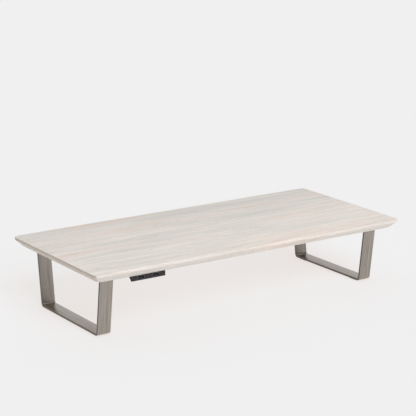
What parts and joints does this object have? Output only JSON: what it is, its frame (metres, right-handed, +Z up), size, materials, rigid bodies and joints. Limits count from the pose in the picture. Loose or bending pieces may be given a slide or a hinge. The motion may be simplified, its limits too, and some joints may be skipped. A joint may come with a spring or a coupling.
{
  "type": "monitor riser stand",
  "caption": "Low wood shelf with a chamfered underside edge on two bent flat-bar legs, with a small USB hub let in under its front edge.",
  "frame": {"origin": "on the desk under the middle of the shelf, at the lowest point of the foot pads", "axes": "+X along the long front edge to the user's right, +Y to the back, +Z up; the hub is at the front, on the -Y side"},
  "size_m": [0.616, 0.279, 0.1182],
  "materials": {
    "whitewashed_wood": "whitewashed, matte lacquer, grain along the length",
    "brushed_nickel": "brushed along the bar, nickel tone",
    "zinc_screws": "zinc plated",
    "foot_rubber": "matte",
    "black_abs": "fine moulded texture",
    "tin_plate": "bright tin plate",
    "dark_nylon": "satin moulded",
    "green_laminate": "solder mask",
    "chip_moulding": "moulded epoxy"
  },
  "bodies": {
    "root": {"riser_board": "whitewashed_wood", "left_leg": "brushed_nickel", "right_leg": "brushed_nickel", "left_leg_screw_front_outer": "zinc_screws", "left_leg_screw_front_inner": "zinc_screws", "left_leg_screw_back_outer": "zinc_screws", "left_leg_screw_back_inner": "zinc_screws", "right_leg_screw_front_outer": "zinc_screws", "right_leg_screw_front_inner": "zinc_screws", "right_leg_screw_back_outer": "zinc_screws", "right_leg_screw_back_inner": "zinc_screws", "left_foot_pad_front": "foot_rubber", "left_foot_pad_back": "foot_rubber", "right_foot_pad_front": "foot_rubber", "right_foot_pad_back": "foot_rubber", "hub_bezel": "black_abs", "hub_lower_shell": "black_abs", "hub_upper_shell": "black_abs", "hub_circuit_board": "green_laminate", "port_shell_left": "tin_plate", "port_tongue_left": "dark_nylon", "port_shell_right": "tin_plate", "port_tongue_right": "dark_nylon", "inlet_shell": "tin_plate", "inlet_tongue": "dark_nylon", "hub_controller_chip": "chip_moulding", "hub_crystal_can": "tin_plate", "hub_smoothing_capacitor": "tin_plate", "hub_screw_left": "zinc_screws", "hub_screw_right": "zinc_screws"}
  },
  "joints": []
}
